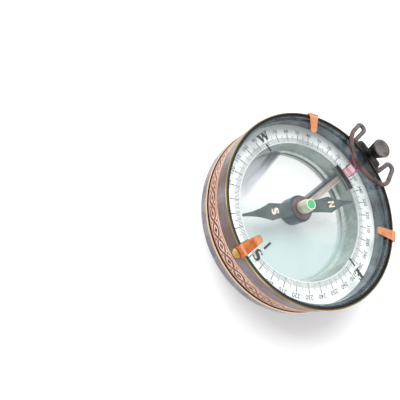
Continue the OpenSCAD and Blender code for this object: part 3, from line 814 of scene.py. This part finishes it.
def add_north(marks):
    """The red north letter and its frame, with the pink block behind them."""
    thin = 0.42
    thick = 0.5
    red = printed("North Red", paler(marks.north_red, 0.8, 0.08), (*marks.north_red, 1.0))
    letter = flat_mark(LETTER_N, PRINT_LOW, PRINT_HIGH)
    pieces = [put_at(letter, math.radians(-1.4), 31.0 * MM, 0)]
    for start, end, wide in (
            ((-1.5, 23.9), (-1.2, 29.5), thin), ((2.6, 24.5), (2.65, 29.3), thin),
            ((-1.5, 24.2), (2.65, 24.5), thick), ((-1.35, 25.5), (2.6, 25.7), thin),
            ((-1.3, 26.6), (2.6, 26.8), thin)):
        pieces.append(flat_mark(stroke(start, end, wide), PRINT_LOW, PRINT_HIGH))
    join(pieces)
    settle("north_frame", "case", red.material)

    pink = Paint("North Pink")
    haze = pink.noise(pink.place(), 300.0, 3.0)
    pink.colour(pink.blend(haze, "#ffc4d4", "#ffdde6"))
    pink.set(Roughness=0.5, Alpha=0.8 + (haze - 0.5) * 0.2)
    flat_mark([(-1.45, 23.9), (-1.15, 29.6), (2.65, 29.6), (2.6, 24.2)],
              GLASS_UNDER - 4 * PRINT, GLASS_UNDER - 3 * PRINT)
    settle("north_block", "case", pink.material)


def add_needle_letters():
    """N and S on the needle's two ends."""
    cream = printed("Needle Cream", "#f8e6d4", "#e3b692")
    letters = []
    for outline, reach in ((PLAIN_N, 15.4), (letter_s(0.62, 0.5, 0.76), -12.8)):
        piece = flat_mark(outline, NEEDLE_TOP, NEEDLE_TOP + PRINT)
        letters.append(put_at(piece, NEEDLE_BEARING, reach * MM, 0))
    join(letters)
    settle("needle_letters", "needle_assembly", cream.material)


# Stage

def add_floor(stage):
    """A white floor that glows for the camera and in mirrors, most of all under the lens."""
    deselect()
    bpy.ops.mesh.primitive_plane_add(size=FLOOR_SIZE, location=(0, 0, FLOOR_Z))
    floor = bpy.context.object
    floor.name = "floor"
    paint = Paint("Floor White")
    paint.set(Base_Color=FLOOR_GREY, Roughness=0.8)
    seen = paint.rays("Is Camera Ray", "Is Transmission Ray")
    mirrored = paint.rays("Is Glossy Ray") * stage.mirror_glow
    at = Place(paint)
    far = paint.rise(at.r, GLOW_NEAR_R, GLOW_FAR_R, stage.floor_glow, 1.0)
    under = paint.within(at.r, LENS_R, 1 * MM) * stage.lens_glow
    share = seen * paint.calc("MAXIMUM", far, under)
    glow = paint.node("ShaderNodeEmission", values={"Color": WHITE, "Strength": 1.0})
    paint.mix(paint.calc("MAXIMUM", share, mirrored),
              Wire(paint, paint.principled.outputs[0]), glow)
    floor.data.materials.append(paint.material)


def add_sky(strength):
    """Even light from all round, plain white where the camera, glass and mirrors see it."""
    world = bpy.data.worlds.new("Studio")
    world.use_nodes = True
    bpy.context.scene.world = world
    sky = Shader(world.node_tree)
    background = sky.tree.nodes["Background"]
    seen = sky.rays("Is Camera Ray", "Is Glossy Ray", "Is Transmission Ray")
    sky.feed(background.inputs["Color"], SKY_COLOUR)
    sky.feed(background.inputs["Strength"], sky.rise(seen, 0.0, 1.0, strength, 1.0))


def add_lamp(name, place, size, power):
    """A round lamp that looks at the middle of the compass."""
    aim = (LAMP_AIM - place).to_track_quat("-Z", "Y").to_euler()
    bpy.ops.object.light_add(type="AREA", location=place, rotation=aim)
    lamp = bpy.context.object
    lamp.name = name
    lamp.data.shape = "DISK"
    lamp.data.size = size
    lamp.data.energy = power
    return lamp


def add_camera(lens):
    """The camera of the photograph."""
    turn = [math.radians(a) for a in CAMERA_TURN]
    bpy.ops.object.camera_add(location=CAMERA_PLACE, rotation=turn)
    camera = bpy.context.object
    camera.name = "photo_camera"
    camera.data.lens = lens
    camera.data.sensor_width = CAMERA_SENSOR
    camera.data.shift_x, camera.data.shift_y = CAMERA_SHIFT
    camera.data.clip_start = CAMERA_NEAR
    bpy.context.scene.camera = camera


# Settings

class DialMarks(bpy.types.PropertyGroup):
    start: bpy.props.FloatProperty(
        name="Marks start", description="Inner radius of all the dial's marks",
        default=28.45 * MM, unit="LENGTH")
    fine_outer: bpy.props.FloatProperty(
        name="Fine marks reach", description="Outer radius of the one degree marks",
        default=30.35 * MM, unit="LENGTH")
    mid_outer: bpy.props.FloatProperty(
        name="Middle marks reach", description="Outer radius of the five degree marks",
        default=31.2 * MM, unit="LENGTH")
    long_outer: bpy.props.FloatProperty(
        name="Long marks reach", description="Outer radius of the ten degree marks",
        default=32.2 * MM, unit="LENGTH")
    number_reach: bpy.props.FloatProperty(
        name="Number reach", description="Radius of the middle of the numbers",
        default=33.35 * MM, unit="LENGTH")
    number_height: bpy.props.FloatProperty(
        name="Number height", description="Height of the numbers",
        default=1.6 * MM, unit="LENGTH")
    ink: bpy.props.FloatVectorProperty(
        name="Ink", description="Colour of the marks and numbers",
        default=tint("#22272a")[:3], subtype="COLOR", size=3, min=0, max=1)


class GlassMarks(bpy.types.PropertyGroup):
    bar_length: bpy.props.FloatProperty(
        name="Bar length", description="Length of the bars under the letters",
        default=3.6 * MM, unit="LENGTH")
    bar_width: bpy.props.FloatProperty(
        name="Bar width", description="Width of the bars",
        default=0.85 * MM, unit="LENGTH")
    north_red: bpy.props.FloatVectorProperty(
        name="North red", description="Colour of the north letter and its frame",
        default=tint("#97254a")[:3], subtype="COLOR", size=3, min=0, max=1)


class Stage(bpy.types.PropertyGroup):
    lens: bpy.props.FloatProperty(
        name="Lens", description="Focal length of the camera in millimetres",
        default=34.48, min=10, max=200)
    key: bpy.props.FloatProperty(
        name="Key light", description="Power of the large soft light",
        default=5.2, min=0, max=50, subtype="POWER")
    sparkle: bpy.props.FloatProperty(
        name="Sparkle", description="Power of the small light for highlights on metal",
        default=0.3, min=0, max=10, subtype="POWER")
    fill: bpy.props.FloatProperty(
        name="Sky", description="Strength of the even light from all round",
        default=0.8, min=0, max=2)
    floor_glow: bpy.props.FloatProperty(
        name="Floor glow", description="Share of plain white in the floor that the camera sees",
        default=0.2, min=0, max=1, subtype="FACTOR")
    mirror_glow: bpy.props.FloatProperty(
        name="Mirrored glow", description="Share of plain white in the floor that metal mirrors",
        default=0.75, min=0, max=1, subtype="FACTOR")
    lens_glow: bpy.props.FloatProperty(
        name="Glow under the lens", description="Share of plain white in the floor under the lens",
        default=0.95, min=0, max=1, subtype="FACTOR")


# Operators

class COMPASS_OT_case(bpy.types.Operator):
    """Finish the base ring, barrel, bezel and the inner rings"""
    bl_idname = "compass.case"
    bl_label = "Case"

    def execute(self, context):
        finish_base()
        finish_bezel()
        finish_barrel()
        turned_metal("Well Grey Green", "#bfcac5", "#939f99", rough=0.42, metallic=0.3,
                     grain=0.1, patches=90.0).dress("dial_carrier")
        turned_metal("Retainer Bright", "#e6eeeb", "#bcc8c4", rough=0.26,
                     metallic=0.7).dress("lens_retainer")
        plain_metal("Gasket", "#8f9a96", "#6f7a77", rough=0.7, metallic=0.0).dress("lens_gasket")
        return {"FINISHED"}


class COMPASS_OT_band(bpy.types.Operator):
    """Finish the copper band with an engraved border of woven waves"""
    bl_idname = "compass.band"
    bl_label = "Engraved Band"

    waves: bpy.props.IntProperty(
        name="Waves", description="Number of waves round the band", default=20, min=6, max=60)
    swing: bpy.props.FloatProperty(
        name="Swing", description="Height of a wave over the band's middle",
        default=2.25 * MM, unit="LENGTH")
    thick: bpy.props.FloatProperty(
        name="Strand", description="Half the width of an engraved strand",
        default=0.5 * MM, unit="LENGTH")

    def execute(self, context):
        finish_band(self.waves, self.swing / MM, self.thick / MM)
        return {"FINISHED"}


class COMPASS_OT_dial(bpy.types.Operator):
    """Finish the dial and add its marks and numbers"""
    bl_idname = "compass.dial"
    bl_label = "Dial"

    def execute(self, context):
        finish_dial()
        add_dial_marks(context.scene.compass_dial)
        return {"FINISHED"}


class COMPASS_OT_glass(bpy.types.Operator):
    """Finish the cover glass and lens and add the seal and the cardinal letters"""
    bl_idname = "compass.glass"
    bl_label = "Glass and Letters"

    def execute(self, context):
        finish_cover()
        finish_lens()
        add_seal()
        add_letters(context.scene.compass_glass)
        add_north(context.scene.compass_glass)
        return {"FINISHED"}


class COMPASS_OT_needle(bpy.types.Operator):
    """Finish the bracket, hub, needle, collar, cap and jewel and letter the needle"""
    bl_idname = "compass.needle"
    bl_label = "Needle Movement"

    def execute(self, context):
        finish_arm()
        turned_metal("Hub Blue Grey", "#6a7480", "#434c56", rough=0.33, metallic=0.6,
                     grain=0.1).dress("pivot_hub")
        plain_metal("Screw Steel", "#b9bcc0", "#8d9195", rough=0.28).dress(
            "arm_screws", "pivot_pin")
        plain_metal("Needle Slate", "#566364", "#3f4c4f", rough=0.42,
                    metallic=0.35).dress("needle")
        turned_metal("Collar Purple Grey", "#8d7d84", "#574a52", rough=0.3,
                     metallic=0.85).dress("needle_collar")
        turned_metal("Cap Brass", "#fffbe2", "#f4e8bc", rough=0.18, metallic=0.4,
                     grain=0.08).dress("needle_cap")
        finish_jewel()
        add_needle_letters()
        return {"FINISHED"}


class COMPASS_OT_fittings(bpy.types.Operator):
    """Finish the clips, screws, lug, bow and knob"""
    bl_idname = "compass.fittings"
    bl_label = "Clips, Bow and Knob"

    def execute(self, context):
        finish_clips()
        plain_metal("Screw Brass", "#f0d68c", "#b98e40", rough=0.16).dress("clip_screws")
        plain_metal("Lug Dark", "#4a4547", "#1e1b1d", rough=0.36, metallic=0.8).dress("bow_lug")
        finish_bow()
        finish_knob()
        return {"FINISHED"}


class COMPASS_OT_stage(bpy.types.Operator):
    """Add the floor, the lights and the camera"""
    bl_idname = "compass.stage"
    bl_label = "Stage"

    def execute(self, context):
        stage = context.scene.compass_stage
        add_floor(stage)
        add_sky(stage.fill)
        deselect()
        key = add_lamp("key_light", KEY_PLACE, KEY_SIZE, stage.key)
        key.visible_glossy = False
        add_lamp("sparkle_light", SPARKLE_PLACE, SPARKLE_SIZE, stage.sparkle)
        add_camera(stage.lens)
        context.scene.view_settings.view_transform = "Standard"
        return {"FINISHED"}


class COMPASS_PT_panel(bpy.types.Panel):
    bl_idname = "COMPASS_PT_panel"
    bl_label = "Map Reading Compass"
    bl_space_type = "VIEW_3D"
    bl_region_type = "UI"
    bl_category = "Compass"

    def draw(self, context):
        for settings in (context.scene.compass_dial, context.scene.compass_glass,
                         context.scene.compass_stage):
            box = self.layout.box()
            for name in settings.__annotations__:
                box.prop(settings, name)
        for operator in OPERATORS:
            self.layout.operator(operator.bl_idname)


GROUPS = (DialMarks, GlassMarks, Stage)
OPERATORS = (COMPASS_OT_case, COMPASS_OT_band, COMPASS_OT_dial, COMPASS_OT_glass,
             COMPASS_OT_needle, COMPASS_OT_fittings, COMPASS_OT_stage)


def register():
    for part in (*GROUPS, *OPERATORS, COMPASS_PT_panel):
        bpy.utils.register_class(part)
    bpy.types.Scene.compass_dial = bpy.props.PointerProperty(type=DialMarks)
    bpy.types.Scene.compass_glass = bpy.props.PointerProperty(type=GlassMarks)
    bpy.types.Scene.compass_stage = bpy.props.PointerProperty(type=Stage)


def unregister():
    del bpy.types.Scene.compass_dial
    del bpy.types.Scene.compass_glass
    del bpy.types.Scene.compass_stage
    for part in reversed((*GROUPS, *OPERATORS, COMPASS_PT_panel)):
        bpy.utils.unregister_class(part)


def main():
    register()
    bpy.ops.compass.case()
    bpy.ops.compass.band()
    bpy.ops.compass.dial()
    bpy.ops.compass.glass()
    bpy.ops.compass.needle()
    bpy.ops.compass.fittings()
    bpy.ops.compass.stage()


if __name__ == "__main__":
    main()
